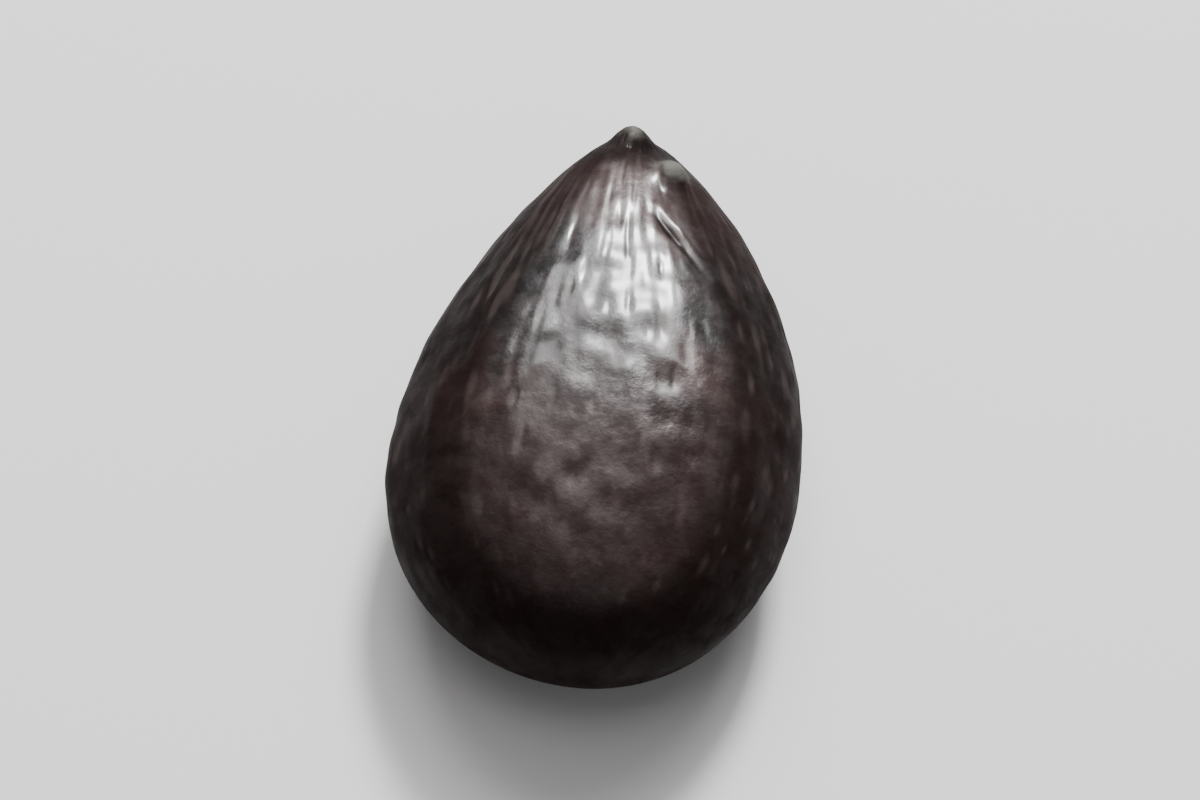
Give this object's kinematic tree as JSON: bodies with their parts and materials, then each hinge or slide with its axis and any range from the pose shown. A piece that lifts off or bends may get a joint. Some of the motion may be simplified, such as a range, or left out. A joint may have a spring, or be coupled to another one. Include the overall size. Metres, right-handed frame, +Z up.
{
  "type": "cassia absus seed",
  "caption": "Flattened teardrop seed with a blunt beak, bevelled faces and rows of fine pits; lies flat on a small spot.",
  "frame": {"origin": "bottom centre of the seed's bounding box, on the surface that it lies on", "axes": "+Y along the seed from its round end to its pointed stalk-scar end, +X across its width, +Z up through its upper face"},
  "size_m": [0.0036, 0.005, 0.0018],
  "materials": {
    "seed_coat": "satin"
  },
  "bodies": {
    "root": {"seed": "seed_coat"}
  },
  "joints": []
}
